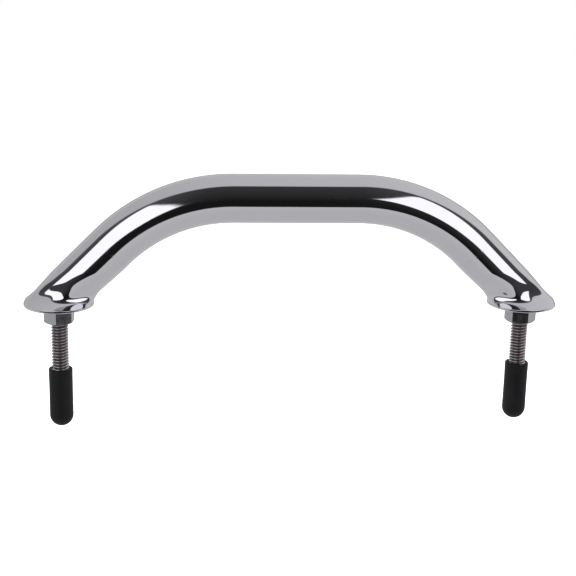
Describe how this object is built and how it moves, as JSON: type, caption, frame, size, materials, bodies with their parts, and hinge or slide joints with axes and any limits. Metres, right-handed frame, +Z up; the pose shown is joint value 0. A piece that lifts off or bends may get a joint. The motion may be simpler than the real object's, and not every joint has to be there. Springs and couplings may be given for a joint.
{
  "type": "grab rail",
  "caption": "Low arched deck grab rail: one bent tube on flared 45 degree end castings, with threaded studs, washers, hex nuts and soft thread caps below.",
  "frame": {"origin": "midway between the two studs, on the plane that the base flanges rest on", "axes": "+X along the rail from the left foot to the right, +Z up from the deck through the grip, +Y to the back; the studs point down -Z"},
  "size_m": [0.2452, 0.0318, 0.1189],
  "materials": {
    "polished_stainless": "polished",
    "weld_metal": "polished",
    "threaded_rod": "satin",
    "washer_steel": "satin",
    "nut_steel": "satin",
    "black_vinyl": "satin"
  },
  "bodies": {
    "rail": {"rail_tube": "polished_stainless", "left_end_casting": "polished_stainless", "left_weld_ring": "weld_metal", "left_stud": "threaded_rod", "right_end_casting": "polished_stainless", "right_weld_ring": "weld_metal", "right_stud": "threaded_rod"},
    "left_washer_body": {"left_washer": "washer_steel"},
    "left_nut_body": {"left_nut": "nut_steel"},
    "left_cap_body": {"left_thread_cap": "black_vinyl"},
    "right_washer_body": {"right_washer": "washer_steel"},
    "right_nut_body": {"right_nut": "nut_steel"},
    "right_cap_body": {"right_thread_cap": "black_vinyl"}
  },
  "joints": [
    {"name": "left_nut_travel", "type": "slide", "parent": "rail", "child": "left_washer_body", "axis": [0, 0, -1], "range_m": [0, 0.01976]},
    {"name": "left_nut_turn", "type": "hinge", "parent": "left_washer_body", "child": "left_nut_body", "pos_m": [-0.10675, 0, -0.005], "axis": [0, 0, -1], "range_deg": [0, 5040]},
    {"name": "left_cap_slide", "type": "slide", "parent": "rail", "child": "left_cap_body", "axis": [0, 0, -1], "range_m": [-0.0019, 0.03]},
    {"name": "right_nut_travel", "type": "slide", "parent": "rail", "child": "right_washer_body", "axis": [0, 0, -1], "range_m": [0, 0.01976]},
    {"name": "right_nut_turn", "type": "hinge", "parent": "right_washer_body", "child": "right_nut_body", "pos_m": [0.10675, 0, -0.005], "axis": [0, 0, -1], "range_deg": [0, 5040]},
    {"name": "right_cap_slide", "type": "slide", "parent": "rail", "child": "right_cap_body", "axis": [0, 0, -1], "range_m": [0, 0.03]}
  ],
  "couplings": [
    {"joint": "left_nut_turn", "follows": "left_nut_travel", "rad_per_m": 4452.7},
    {"joint": "right_nut_turn", "follows": "right_nut_travel", "rad_per_m": 4452.7}
  ]
}
